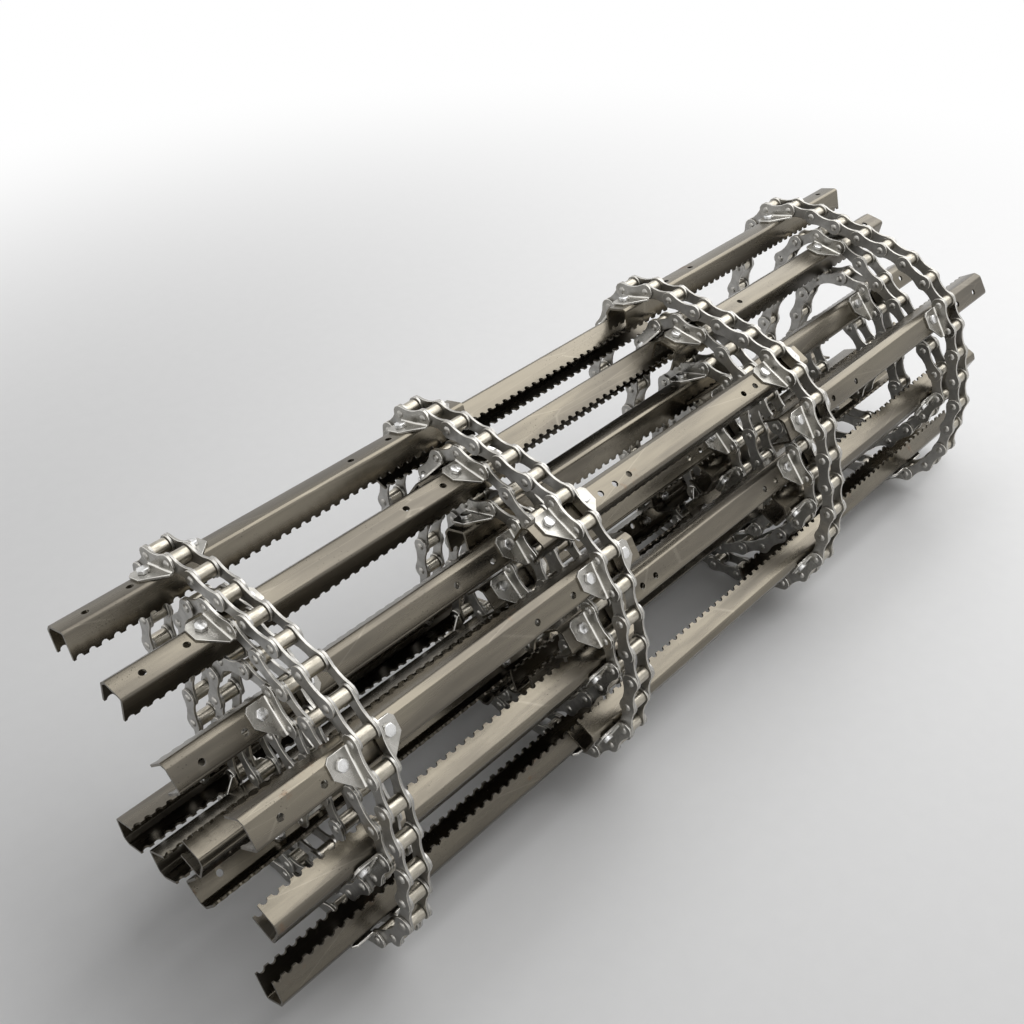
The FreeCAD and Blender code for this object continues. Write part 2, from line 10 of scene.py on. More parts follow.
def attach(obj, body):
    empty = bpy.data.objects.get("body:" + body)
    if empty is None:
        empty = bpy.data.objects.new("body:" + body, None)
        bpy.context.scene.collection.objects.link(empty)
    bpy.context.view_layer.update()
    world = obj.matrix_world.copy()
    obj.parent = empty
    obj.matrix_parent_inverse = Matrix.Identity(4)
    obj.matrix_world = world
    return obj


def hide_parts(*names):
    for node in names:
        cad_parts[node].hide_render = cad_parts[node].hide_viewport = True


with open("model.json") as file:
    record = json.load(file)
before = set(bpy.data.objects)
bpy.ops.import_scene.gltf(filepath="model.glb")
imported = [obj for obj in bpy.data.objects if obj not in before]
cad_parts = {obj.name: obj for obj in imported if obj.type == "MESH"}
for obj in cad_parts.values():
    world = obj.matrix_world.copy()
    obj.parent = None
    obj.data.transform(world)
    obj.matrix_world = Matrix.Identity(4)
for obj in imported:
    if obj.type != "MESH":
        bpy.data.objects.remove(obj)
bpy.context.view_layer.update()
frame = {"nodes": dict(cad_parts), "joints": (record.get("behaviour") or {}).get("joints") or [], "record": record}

# The course of the chain.
# Four roller chain strands run side by side along one course, wound from the middle of the roll
# outwards, and six loose links hang down the back. Even links are outer links, odd ones inner
# links. The joints mark the loose pins, and the pointed ends of the frame's wound plates the rest.

MM = 0.001
same_place = 0.01 * MM
joint_at = {joint["name"]: joint["pos_m"] for joint in frame["joints"]}
free_links = sum(name.startswith("link_") for name in joint_at)
free_pins = np.array([joint_at[f"link_{k}_hinge"][1:] for k in range(1, free_links + 1)]
                     + [joint_at[f"roller_{free_links + 1}_spin"][1:]])
strand_x = np.array([mount["pos_m"][0] for mount in frame["record"]["mounts"]])
pitch = math.dist(free_pins[0], free_pins[1])


def plate_tips(node):
    """The two pointed ends (y, z) of each wound plate on the left of the first strand: the
    triangles in the plates' inner face are joined into islands by their shared corners, and the
    tips are the two corners of an island that lie furthest apart."""
    mesh = frame["nodes"][node].data
    corners = np.empty(len(mesh.vertices) * 3)
    mesh.vertices.foreach_get("co", corners)
    corners = corners.reshape(-1, 3)
    triangles = np.empty(len(mesh.polygons) * 3, int)
    mesh.polygons.foreach_get("vertices", triangles)
    triangles = triangles.reshape(-1, 3)
    face_x = corners[corners[:, 0] < strand_x[0], 0].max()
    in_face = np.abs(corners[triangles, 0] - face_x).max(axis=1) < same_place
    triangles = triangles[in_face]
    places, member = np.unique(np.round(corners[:, 1:] / same_place), axis=0, return_inverse=True)
    triangles = member.reshape(-1)[triangles]
    island = np.arange(len(places))
    joined = False
    while not joined:
        lowest = island[triangles].min(axis=1)
        joined = (island[triangles] == lowest[:, None]).all()
        for corner in triangles.T:
            np.minimum.at(island, corner, lowest)
    tips = []
    for number in np.unique(island[triangles]):
        ring = places[island == number] * same_place
        apart = np.linalg.norm(ring[:, None] - ring[None], axis=2)
        first, second = np.unravel_index(apart.argmax(), apart.shape)
        tips.append((ring[first], ring[second]))
    return tips


def chain_course():
    """All pins (y, z) from the middle outwards. A plate's pins lie one pitch apart on the line
    between its tips. From the first loose pin inwards, the next plate is the one with a pin exactly
    one pitch away, across an inner link."""
    plate_pins = []
    for first, second in plate_tips("wound_outer_plates") + plate_tips("wound_ear_plates"):
        length = math.dist(first, second)
        inset = (second - first) * (length - pitch) / 2 / length
        plate_pins.append((first + inset, second - inset))
    plate_pins = np.array(plate_pins)
    course = [free_pins[0]]
    while len(plate_pins):
        off_pitch = np.abs(np.linalg.norm(plate_pins - course[-1], axis=2) - pitch)
        plate, near = np.unravel_index(off_pitch.argmin(), off_pitch.shape)
        course += [plate_pins[plate, near], plate_pins[plate, 1 - near]]
        plate_pins = np.delete(plate_pins, plate, axis=0)
    return np.array(course[::-1] + list(free_pins[1:]))


pins = chain_course()
along_link = np.diff(pins, axis=0)
heading = np.arctan2(along_link[:, 1], along_link[:, 0])
link_count = len(heading)
first_free = link_count - free_links
wound_links = np.arange(first_free)

# Rollers.
# Hardened and ground steel rings, 17.78 mm across, one on each bush between the inner plates.
# The sprocket teeth press on them, so they are the brightest part of a strand.

inner_width = 20.24 * MM
side_play = 0.2 * MM
bore_play = 0.06 * MM
roller_radius = 17.78 / 2 * MM
roller_half_width = inner_width / 2 - side_play
bush_radius = 11.5 / 2 * MM
roller_bore = bush_radius + bore_play
roller_chamfer = 0.7 * MM
roller_sides = 16
smooth_below = math.radians(32)

# A shape holds its points, all its faces' corners in one list, how many corners each face has, and
# which faces take the bright edge colour of worn metal and a painted highlight. Copies also hold
# each point's place on its own copy and a number by chance.
Shape = namedtuple("Shape", "points loops sizes worn")
Copies = namedtuple("Copies", "points loops sizes worn own chance")
chances = np.random.default_rng(41)


def starts_of(sizes):
    """Where each face's corners begin in the list of all corners."""
    return np.cumsum(sizes) - sizes


def outward(shape):
    """The shape with its faces turned outwards: its volume, summed over fans of triangles from
    each face's first corner, has to come out positive."""
    begin = starts_of(shape.sizes)
    following = np.arange(1, len(shape.loops) + 1)
    following[begin + shape.sizes - 1] = begin
    anchor = shape.points[shape.loops[np.repeat(begin, shape.sizes)]]
    here = shape.points[shape.loops]
    volume = (anchor * np.cross(here, here[following])).sum()
    return shape if volume > 0 else turned_over(shape)


def turned_over(shape):
    """Every face's corners in the opposite order."""
    return Shape(shape.points, shape.loops[::-1], shape.sizes[::-1], shape.worn[::-1])


def skin(rings, closed=False):
    """A surface through rings of points (ring, place in the ring, xyz): a quad between each pair
    of neighbours, and a flat cap on the first and last ring unless they meet each other."""
    count, around = rings.shape[:2]
    grid = np.arange(count * around).reshape(count, around)
    low = grid if closed else grid[:-1]
    high = np.roll(grid, -1, axis=0) if closed else grid[1:]
    quads = np.stack([low, np.roll(low, -1, axis=1), np.roll(high, -1, axis=1), high], axis=-1)
    loops = quads.reshape(-1)
    sizes = np.full(len(loops) // 4, 4)
    if not closed:
        loops = np.concatenate([loops, grid[0][::-1], grid[-1]])
        sizes = np.append(sizes, [around, around])
    return outward(Shape(rings.reshape(-1, 3), loops, sizes, np.zeros(len(sizes), bool)))


def turned(profile, segments, closed=False):
    """A turned part about the pin's axis: profile rows are (x, radius). Each row becomes a ring, at
    the radius times the cosine and sine of evenly spaced angles."""
    angle = np.arange(segments) * 2 * math.pi / segments
    x, radius = np.array(profile, float).T
    rings = np.stack([np.broadcast_to(x[:, None], (len(x), segments)),
                      radius[:, None] * np.cos(angle), radius[:, None] * np.sin(angle)], axis=-1)
    return skin(rings, closed)


def mesh_from(name, points, loops, sizes):
    """A Blender mesh from the arrays of a shape."""
    mesh = bpy.data.meshes.new(name)
    mesh.vertices.add(len(points))
    mesh.vertices.foreach_set("co", np.ascontiguousarray(points, np.float32).ravel())
    mesh.loops.add(len(loops))
    mesh.loops.foreach_set("vertex_index", np.ascontiguousarray(loops, np.int32))
    mesh.polygons.add(len(sizes))
    mesh.polygons.foreach_set("loop_start", np.ascontiguousarray(starts_of(sizes), np.int32))
    mesh.update(calc_edges=True)
    return mesh


def lay(shape, links, x):
    """Copies of a shape, one for each link and x: its second coordinate runs along the link from
    the link's first pin and its third stands outwards, both turned by the link's heading."""
    links, x = (a.ravel() for a in np.broadcast_arrays(np.asarray(links), np.asarray(x, float)))
    count = len(links)
    cosine, sine = np.cos(heading[links])[:, None], np.sin(heading[links])[:, None]
    u, v = shape.points[:, 1], shape.points[:, 2]
    points = np.stack([shape.points[:, 0] + x[:, None],
                       pins[links, 0][:, None] + cosine * u - sine * v,
                       pins[links, 1][:, None] + sine * u + cosine * v], axis=-1).reshape(-1, 3)
    shift = np.arange(count)[:, None] * len(shape.points)
    return Copies(points, (shift + shape.loops).reshape(-1), np.tile(shape.sizes, count),
                  np.tile(shape.worn, count), np.tile(shape.points, (count, 1)),
                  np.repeat(chances.random(count), len(shape.points)))


def piece(name, copies, material, slot, body, *nodes):
    """One object of all the copies. Each point keeps its place on its own copy (own) and a number
    that differs from copy to copy (chance), and each face knows whether it takes the bright edge
    colour of worn metal and a painted highlight."""
    shift = np.cumsum([0] + [len(group.points) for group in copies[:-1]])
    loops = np.concatenate([group.loops + start for group, start in zip(copies, shift)])
    points, sizes, worn, own, chance = (
        np.concatenate([getattr(group, key) for group in copies])
        for key in ("points", "sizes", "worn", "own", "chance"))
    mesh = mesh_from(name, points, loops, sizes)
    mesh.attributes.new("own", "FLOAT_VECTOR", "POINT").data.foreach_set(
        "vector", own.astype(np.float32).ravel())
    mesh.attributes.new("chance", "FLOAT", "POINT").data.foreach_set(
        "value", chance.astype(np.float32))
    # Faces marked here get the bright edge colour: partly worn metal, partly a painted highlight.
    mesh.attributes.new("worn", "FLOAT", "FACE").data.foreach_set("value", worn.astype(np.float32))
    mesh.polygons.foreach_set("use_smooth", np.ones(len(sizes), bool))
    mesh.set_sharp_from_angle(angle=smooth_below)
    mesh.materials.append(material)
    obj = bpy.data.objects.new(name, mesh)
    bpy.context.scene.collection.objects.link(obj)
    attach(obj, body)
    if nodes:
        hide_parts(*nodes)


def new_group(name, inputs, outputs):
    """An empty node group with named sockets; each input comes with its kind and first value."""
    tree = bpy.data.node_groups.new(name, "ShaderNodeTree")
    for label, kind, value in inputs:
        socket = tree.interface.new_socket(label, in_out="INPUT", socket_type=kind)
        if value is not None:
            socket.default_value = value
    for label, kind in outputs:
        tree.interface.new_socket(label, in_out="OUTPUT", socket_type=kind)
    return tree, tree.nodes.new("NodeGroupInput").outputs, tree.nodes.new("NodeGroupOutput").inputs


def join(tree, node_type, settings=None, **links):
    """A node with its settings made, and its inputs linked to sockets or given values. An input
    is called by its label, or by an underscore and its number."""
    node = tree.nodes.new(node_type)
    for key, value in (settings or {}).items():
        setattr(node, key, value)
    for label, value in links.items():
        socket = node.inputs[int(label[1:])] if label[0] == "_" else node.inputs[label]
        if isinstance(value, bpy.types.NodeSocket):
            tree.links.new(value, socket)
        else:
            socket.default_value = value
    return node.outputs


def arithmetic(tree, operation, first, second=0.5, third=0.0):
    """One step of arithmetic on values that change over the surface."""
    return join(tree, "ShaderNodeMath", {"operation": operation},
                _0=first, _1=second, _2=third)["Value"]


def between(tree, value, low, high, to_low=0.0, to_high=1.0):
    """A soft step: to_low where the value is under low, to_high where it is over high."""
    return join(tree, "ShaderNodeMapRange", {"interpolation_type": "SMOOTHSTEP"}, _0=value,
                _1=low, _2=high, _3=to_low, _4=to_high)["Result"]


def mixed(tree, share, first, second):
    """The first colour with a share of the second laid over it."""
    node = tree.nodes.new("ShaderNodeMix")
    node.data_type = "RGBA"
    for socket, value in ((node.inputs[0], share), (node.inputs[6], first),
                          (node.inputs[7], second)):
        if isinstance(value, bpy.types.NodeSocket):
            tree.links.new(value, socket)
        else:
            socket.default_value = value
    return node.outputs[2]


# Metal surface: cloudy oil smears, fine grain, a few thin scratches, patches of small specks and
# rare blooms of rust. They are worked out at the place of a point on its own copy, moved by that
# copy's chance, so that no two copies look alike.
chance_move = 7.0
specks_per_metre = 240.0
patches_per_metre = 20.0
blooms_per_metre = 16.0
metal_tree, given, put_out = new_group(
    "metal_surface",
    [("Place", "NodeSocketVector", None), ("Cloud Size", "NodeSocketFloat", 60.0),
     ("Grain Size", "NodeSocketFloat", 900.0), ("Stretch", "NodeSocketVector", (1.0, 1.0, 1.0))],
    [("Cloud", "NodeSocketFloat"), ("Grain", "NodeSocketFloat"), ("Scratch", "NodeSocketFloat"),
     ("Speck", "NodeSocketFloat"), ("Rust", "NodeSocketFloat"), ("Chance", "NodeSocketFloat"),
     ("Worn", "NodeSocketFloat")])
own_chance = join(metal_tree, "ShaderNodeAttribute", {"attribute_name": "chance"})["Fac"]
# The edge mask marks bevels and bends for a bright colour that is partly worn metal and partly a painted
# highlight.
wear_and_highlight_edge = join(metal_tree, "ShaderNodeAttribute", {"attribute_name": "worn"})["Fac"]
apart = arithmetic(metal_tree, "MULTIPLY", own_chance, chance_move)
moved = join(metal_tree, "ShaderNodeVectorMath", {"operation": "ADD"},
             _0=given["Place"], _1=apart)["Vector"]
drawn = join(metal_tree, "ShaderNodeVectorMath", {"operation": "MULTIPLY"},
             _0=moved, _1=given["Stretch"])["Vector"]
cloud = join(metal_tree, "ShaderNodeTexNoise", None, Vector=drawn, Scale=given["Cloud Size"],
             Detail=4.0, Roughness=0.55)["Fac"]
grain = join(metal_tree, "ShaderNodeTexNoise", None, Vector=drawn, Scale=given["Grain Size"],
             Detail=3.0, Roughness=0.7)["Fac"]
cells = join(metal_tree, "ShaderNodeTexVoronoi", {"feature": "DISTANCE_TO_EDGE"}, Vector=drawn,
             Scale=given["Cloud Size"])["Distance"]
metal_tree.links.new(between(metal_tree, cloud, low=0.3, high=0.72), put_out["Cloud"])
metal_tree.links.new(grain, put_out["Grain"])
metal_tree.links.new(between(metal_tree, cells, low=0.0, high=0.012, to_low=1.0, to_high=0.0),
                     put_out["Scratch"])
spots = join(metal_tree, "ShaderNodeTexVoronoi", None, Vector=moved,
             Scale=specks_per_metre)["Distance"]
patchy = join(metal_tree, "ShaderNodeTexNoise", None, Vector=moved,
              Scale=patches_per_metre)["Fac"]
dots = between(metal_tree, spots, low=0.08, high=0.22, to_low=1.0, to_high=0.0)
patches = between(metal_tree, patchy, low=0.48, high=0.62)
specks = arithmetic(metal_tree, "MULTIPLY", dots, patches)
metal_tree.links.new(specks, put_out["Speck"])
bloom = join(metal_tree, "ShaderNodeTexNoise", None, Vector=moved, Scale=blooms_per_metre,
             Detail=5.0, Roughness=0.65)["Fac"]
metal_tree.links.new(between(metal_tree, bloom, low=0.64, high=0.76), put_out["Rust"])
metal_tree.links.new(own_chance, put_out["Chance"])
metal_tree.links.new(wear_and_highlight_edge, put_out["Worn"])

rust_brown = (0.17, 0.078, 0.034)
speck_darkness = 0.3
darker_copies = 0.3
gloss_spread = 0.1
grain_depth = 0.3 * MM


def steel(name, bare, oiled, edge, roughness, clouds, stretch=(1.0, 1.0, 1.0), scratches=0.3,
          specks=0.25, rust=0.25, place="own"):
    """A steel finish: the bare colour, and over it in turn the oil's clouds, a darker oil that
    differs from copy to copy, dark specks, rust, the bright metal of scratches, and the bright edge
    colour on bevelled edges and bends, which is partly worn metal and partly a painted highlight.
    Clouds, grain, specks and rust also take away gloss, and the grain is raised a little."""
    material = bpy.data.materials.new(name)
    material.use_nodes = True
    tree = material.node_tree
    shader = tree.nodes["Principled BSDF"]
    surface = tree.nodes.new("ShaderNodeGroup")
    surface.node_tree = metal_tree
    surface.inputs["Cloud Size"].default_value = clouds
    surface.inputs["Stretch"].default_value = stretch
    if place == "own":
        source = join(tree, "ShaderNodeAttribute", {"attribute_name": "own"})["Vector"]
    else:
        source = tree.nodes.new("ShaderNodeTexCoord").outputs["Object"]
    tree.links.new(source, surface.inputs["Place"])
    seen = surface.outputs
    shade, spots, rusted, scratched = (
        arithmetic(tree, "MULTIPLY", seen[mask], share)
        for mask, share in (("Chance", darker_copies), ("Speck", specks), ("Rust", rust),
                            ("Scratch", scratches)))
    # The edge colour on bevels and bends is partly worn metal and partly a painted highlight.
    shining = arithmetic(tree, "MAXIMUM", seen["Worn"], scratched)
    dark = [channel * speck_darkness for channel in oiled]
    colour = (*bare, 1)
    for share, layer in ((seen["Cloud"], oiled), (shade, oiled), (spots, dark),
                         (rusted, rust_brown), (shining, edge)):
        colour = mixed(tree, share, colour, (*layer, 1))
    tree.links.new(colour, shader.inputs["Base Color"])
    shader.inputs["Metallic"].default_value = 1.0
    rough = roughness - gloss_spread
    for mask, share in (("Cloud", 0.14), ("Grain", 0.1), ("Speck", 0.15), ("Rust", rust * 0.4)):
        rough = arithmetic(tree, "MULTIPLY_ADD", seen[mask], share, rough)
    tree.links.new(rough, shader.inputs["Roughness"])
    height = join(tree, "ShaderNodeBump", None, Height=seen["Grain"], Strength=0.08,
                  Distance=grain_depth)["Normal"]
    tree.links.new(height, shader.inputs["Normal"])
    return material


roller_steel = steel("ground_roller_steel", (0.48, 0.45, 0.385), (0.31, 0.285, 0.235),
                     (0.66, 0.63, 0.55), roughness=0.30, clouds=90.0, stretch=(1.0, 3.0, 3.0),
                     scratches=0.1)
roller = turned([(-roller_half_width, roller_bore),
                 (-roller_half_width, roller_radius - roller_chamfer),
                 (-roller_half_width + roller_chamfer, roller_radius),
                 (roller_half_width - roller_chamfer, roller_radius),
                 (roller_half_width, roller_radius - roller_chamfer),
                 (roller_half_width, roller_bore)], roller_sides, closed=True)


def at_pin(shape, number):
    """The shape for lay() at a link's first pin (0) or second (1)."""
    return shape._replace(points=shape.points + (0, number * pitch, 0))


strands = strand_x[:, None]
wound_strands = [f"wound_strand_{k}" for k in range(1, len(strand_x) + 1)]
inner_wound = wound_links[1::2]
piece("wound_rollers", [lay(at_pin(roller, end), inner_wound, strands) for end in (0, 1)],
      roller_steel, "roller_steel", "rolled_chain", *wound_strands)
for row in range(2, free_links + 2):
    end = 1 if row % 2 else 0
    piece(f"row_{row}_rollers", [lay(at_pin(roller, end), [first_free + row - 1 - end], strands)],
          roller_steel, "roller_steel", f"roller_row_{row}", f"rollers_{row}")

# Bushes.
# Steel tubes pressed into the inner plates; the rollers turn on them and the pins turn in them.
# Only the last ones show, empty at the open ends of the strands. They are the frame's own solids.

bush_steel = steel("bush_steel", (0.33, 0.31, 0.27), (0.17, 0.155, 0.135), (0.50, 0.47, 0.43),
                   roughness=0.4, clouds=120.0, place="object")
for row in range(2, free_links + 1, 2):
    frame["nodes"][f"bushes_{row}"].data.materials.clear()
    frame["nodes"][f"bushes_{row}"].data.materials.append(bush_steel)

# Inner link plates.
# Blanked figure-eight plates, 23.1 mm high and 3.1 mm thick with a narrow waist, pressed onto the
# bushes at both sides of the rollers. Their blanked edges are bright, partly worn metal and partly
# a painted highlight, and their faces oily grey.

plate_height = 23.1 * MM
inside_box = 0.03 * MM
plate_radius = plate_height / 2 - inside_box
plate_thick = 3.1 * MM
waist_half = 14.6 / 2 * MM
inner_face = inner_width / 2
waist_radius = (pitch**2 / 4 + waist_half**2 - plate_radius**2) / 2 / (plate_radius - waist_half)
waist_level = waist_radius + waist_half
touch = math.atan2(waist_level, pitch / 2)
end_points = 9
waist_points = 5
edge_break = 0.35 * MM
sharp_above = math.radians(40)
bore_sides = 32
wear_and_highlight_slot = 1


def mirrored(shape):
    """The left hand of a shape, from its right hand: x changes sign and faces turn over."""
    return turned_over(shape._replace(points=shape.points * (-1, 1, 1)))


def finished(shape, bevel, cutter=None):
    """The shape with its sharp edges broken by a narrow bevel, whose faces are marked for the bright
    edge colour of worn metal and a painted highlight, beside those that already are. A cutter, if
    there is one, is cut out of it first."""
    made = []
    for part in (shape, cutter):
        if part is not None:
            made.append(bpy.data.objects.new("blank", mesh_from("blank", *part[:3])))
            bpy.context.scene.collection.objects.link(made[-1])
            for _ in range(wear_and_highlight_slot + 1):
                made[-1].data.materials.append(None)
            made[-1].data.polygons.foreach_set("material_index", part.worn.astype(np.int32))
    blank = made[0]
    if cutter is not None:
        cut = blank.modifiers.new("holes", "BOOLEAN")
        cut.object = made[1]
        cut.solver = "EXACT"
    edges = blank.modifiers.new("edges", "BEVEL")
    edges.width = bevel
    edges.segments = 1
    edges.limit_method = "ANGLE"
    edges.angle_limit = sharp_above
    # The bevel's faces go to the slot for the bright edge colour: worn metal with a painted highlight.
    edges.material = wear_and_highlight_slot
    mesh = blank.evaluated_get(bpy.context.evaluated_depsgraph_get()).to_mesh()
    points = np.empty(len(mesh.vertices) * 3)
    mesh.vertices.foreach_get("co", points)
    loops = np.empty(len(mesh.loops), int)
    mesh.loops.foreach_get("vertex_index", loops)
    sizes = np.empty(len(mesh.polygons), int)
    mesh.polygons.foreach_get("loop_total", sizes)
    slots = np.empty(len(mesh.polygons), int)
    mesh.polygons.foreach_get("material_index", slots)
    for blank in made:
        bpy.data.objects.remove(blank)
    return Shape(points.reshape(-1, 3), loops, sizes, slots == wear_and_highlight_slot)


def both_sides(shape, links, x):
    """Copies on the right of each strand and mirrored ones on its left."""
    return [lay(shape, links, x), lay(mirrored(shape), links, x)]


def arc(centre, radius, start, stop, count):
    """Points on a circle between two angles, both ends among them."""
    angle = np.linspace(start, stop, count)
    return np.stack([centre[0] + radius * np.cos(angle), centre[1] + radius * np.sin(angle)], axis=1)


def figure_eight():
    """The plate's outline (u, v) from two end circles round the pins and two waist circles that
    touch both of them: the waist circle's radius follows from the pitch, height and waist."""
    end = arc((0, 0), plate_radius, touch, 2 * math.pi - touch, end_points)
    far = arc((pitch, 0), plate_radius, touch - math.pi, math.pi - touch, end_points)
    low = arc((pitch / 2, -waist_level), waist_radius, math.pi - touch, touch, waist_points)
    top = arc((pitch / 2, waist_level), waist_radius, -touch, touch - math.pi, waist_points)
    return np.concatenate([end, low[1:-1], far, top[1:-1]])


def sheet(outline, from_x, to_x):
    """A flat plate: one outline carried straight across its thickness."""
    rings = [np.column_stack([np.full(len(outline), x), outline]) for x in (from_x, to_x)]
    return skin(np.array(rings))


plate_steel = steel("oiled_plate_steel", (0.44, 0.43, 0.41), (0.30, 0.292, 0.277),
                    (0.68, 0.65, 0.58), roughness=0.34, clouds=70.0)
inner_blank = sheet(figure_eight(), inner_face, inner_face + plate_thick)
inner_plate = finished(inner_blank, edge_break)
bush_bore = turned([(inner_face - MM, bush_radius), (inner_face + plate_thick + MM, bush_radius)],
                   bore_sides)
bored_plate = finished(inner_blank, edge_break, at_pin(bush_bore, 1))
piece("wound_inner_plates", both_sides(inner_plate, inner_wound, strands), plate_steel,
      "plate_steel", "rolled_chain", *wound_strands)
for row in range(2, free_links + 1, 2):
    plate = bored_plate if row == free_links else inner_plate
    piece(f"row_{row}_inner_plates", both_sides(plate, [first_free + row - 1], strands),
          plate_steel, "plate_steel", f"link_row_{row}", f"inner_plates_{row}")

# Outer link plates.
# The same figure-eight outside the inner plates, pressed onto the pins. Eared plates take their
# place where a slat is bolted on: at every eighth link on all four strands, and at the outer link
# after it on the two inner strands.

plate_gap = 0.25 * MM
outer_face = inner_face + plate_thick + plate_gap
outer_out = outer_face + plate_thick
outer_plate = finished(sheet(figure_eight(), outer_face, outer_out), edge_break)
outer_wound = wound_links[::2]
slat_repeat = 8
pair_rows = np.arange(0, link_count, slat_repeat)
middle_rows = np.arange(2, link_count, slat_repeat)
both_rows = np.union1d(pair_rows, middle_rows)
eared_rows = [pair_rows, both_rows, both_rows, pair_rows]


def bare_links(strand, links):
    """Those of the links that carry no slat on a strand."""
    return np.setdiff1d(links, eared_rows[strand])


def eared_links(strand, links):
    """Those of the links that carry a slat on a strand."""
    return np.intersect1d(links, eared_rows[strand])


def on_strands(shape, links, choose):
    """Both sides of every strand, at the links that choose(strand, links) leaves."""
    groups = []
    for strand, x in enumerate(strand_x):
        chosen = choose(strand, links)
        if len(chosen):
            groups += both_sides(shape, chosen, x)
    return groups


piece("wound_bare_outer_plates", on_strands(outer_plate, outer_wound, bare_links), plate_steel,
      "plate_steel", "rolled_chain", "wound_outer_plates")
for row in range(3, free_links + 1, 2):
    piece(f"row_{row}_bare_outer_plates",
          on_strands(outer_plate, [first_free + row - 1], bare_links), plate_steel, "plate_steel",
          f"link_row_{row}", f"outer_plates_{row}")

# Eared outer plates.
# Where a slat is bolted on, the plate's lower edge is bent outwards into an ear: widest over the
# bolt near the leading pin, with cut corners, and tapering to a point past the trailing pin.

ear_reach = outer_out + 27.5 * MM
ear_tip = outer_out + 4 * MM
ear_tail = -6 * MM
bolt_u = pitch - 14 * MM
ear_wide_from = bolt_u - 8.9 * MM
ear_corner = 5 * MM
bend_inside = 2 * MM
bend_steps = 4
eared_end_points = 8
eared_free_rows = (1, 3)


def eared_outline():
    """The plate part (u, v): round ends and a waist above; below, two short upright slits end the
    ear's root, which is level between them."""
    root = bend_inside + plate_thick - plate_radius
    tail_v = -math.sqrt(plate_radius**2 - ear_tail**2)
    tail_angle = math.atan2(tail_v, ear_tail) + 2 * math.pi
    end = arc((0, 0), plate_radius, touch, tail_angle, eared_end_points)
    far = arc((pitch, 0), plate_radius, -math.pi / 2, math.pi - touch, eared_end_points)
    top = arc((pitch / 2, waist_level), waist_radius, -touch, touch - math.pi, waist_points)
    slits = [(ear_tail, root), (pitch, root)]
    return np.concatenate([end, slits, far, top[1:-1]]), len(end)


def eared_plate():
    """The plate part with the face at its root drawn out into the ear: a flat ring of four
    corners carried down, round a quarter bend and out to the tip, its ends set by the ear's
    outline at that distance from the strand. The inside of the bend takes the bright edge colour, a
    painted highlight along the bend."""
    outline, tail = eared_outline()
    count = len(outline)
    plate = np.concatenate([np.column_stack([np.full(count, x), outline])
                            for x in (outer_face, outer_out)])
    around = np.arange(count)
    ahead = np.roll(around, -1)
    quads = np.stack([around, ahead, ahead + count, around + count], axis=1)
    quads = np.delete(quads, tail, axis=0)
    bend_v = bend_inside + plate_thick - plate_radius
    bend_x = outer_out + bend_inside
    angle = np.linspace(0, math.pi / 2, bend_steps + 1)[1:]
    outside = np.stack([bend_x - (bend_inside + plate_thick) * np.cos(angle),
                        bend_v - (bend_inside + plate_thick) * np.sin(angle)], axis=1)
    inside = np.stack([bend_x - bend_inside * np.cos(angle), bend_v - bend_inside * np.sin(angle)],
                      axis=1)
    flat_x = np.array([ear_tip, ear_reach - ear_corner, ear_reach])
    under = np.full_like(flat_x, -plate_radius)
    outside = np.concatenate([outside, np.column_stack([flat_x, under])])
    inside = np.concatenate([inside, np.column_stack([flat_x, under + plate_thick])])
    from_u = np.interp(inside[:, 0], [ear_tip, ear_reach], [ear_tail, ear_wide_from])
    to_u = np.interp(inside[:, 0], [ear_reach - ear_corner, ear_reach],
                     [pitch, pitch - ear_corner])
    rings = np.stack([np.column_stack([outside[:, 0], from_u, outside[:, 1]]),
                      np.column_stack([outside[:, 0], to_u, outside[:, 1]]),
                      np.column_stack([inside[:, 0], to_u, inside[:, 1]]),
                      np.column_stack([inside[:, 0], from_u, inside[:, 1]])], axis=1)
    root = np.array([tail, tail + 1, tail + 1 + count, tail + count])
    grid = np.vstack([root, 2 * count + np.arange(len(rings) * 4).reshape(-1, 4)])
    ear = np.stack([grid[:-1], np.roll(grid[:-1], -1, axis=1), np.roll(grid[1:], -1, axis=1),
                    grid[1:]], axis=-1).reshape(-1, 4)
    loops = np.concatenate([quads.ravel(), ear.ravel(), grid[-1], around[::-1], around + count])
    sizes = np.concatenate([np.full(len(quads) + len(ear) + 1, 4), [count, count]])
    points = np.concatenate([plate, rings.reshape(-1, 3)])
    worn = np.zeros(len(sizes), bool)
    inside_bend = len(quads) + 4 * np.arange(len(angle)) + 2
    # The inside of the bend is marked for the bright edge colour: a painted highlight along the bend.
    worn[inside_bend] = True
    return outward(Shape(points, loops, sizes, worn))


ear_steel = steel("blanked_ear_steel", (0.46, 0.445, 0.415), (0.32, 0.31, 0.283),
                  (0.85, 0.83, 0.78), roughness=0.28, clouds=55.0)
ear_plate = finished(eared_plate(), edge_break)
piece("wound_eared_plates", on_strands(ear_plate, outer_wound, eared_links), ear_steel,
      "ear_steel", "rolled_chain", "wound_ear_plates")
for row in eared_free_rows:
    piece(f"row_{row}_eared_plates", on_strands(ear_plate, [first_free + row - 1], eared_links),
          ear_steel, "ear_steel", f"link_row_{row}", f"outer_plates_{row}")

# Pins.
# Case-hardened 8 mm pins, pressed into the outer plates and riveted over: each end is a small
# flat dome that stands 1.8 mm proud of the plate.

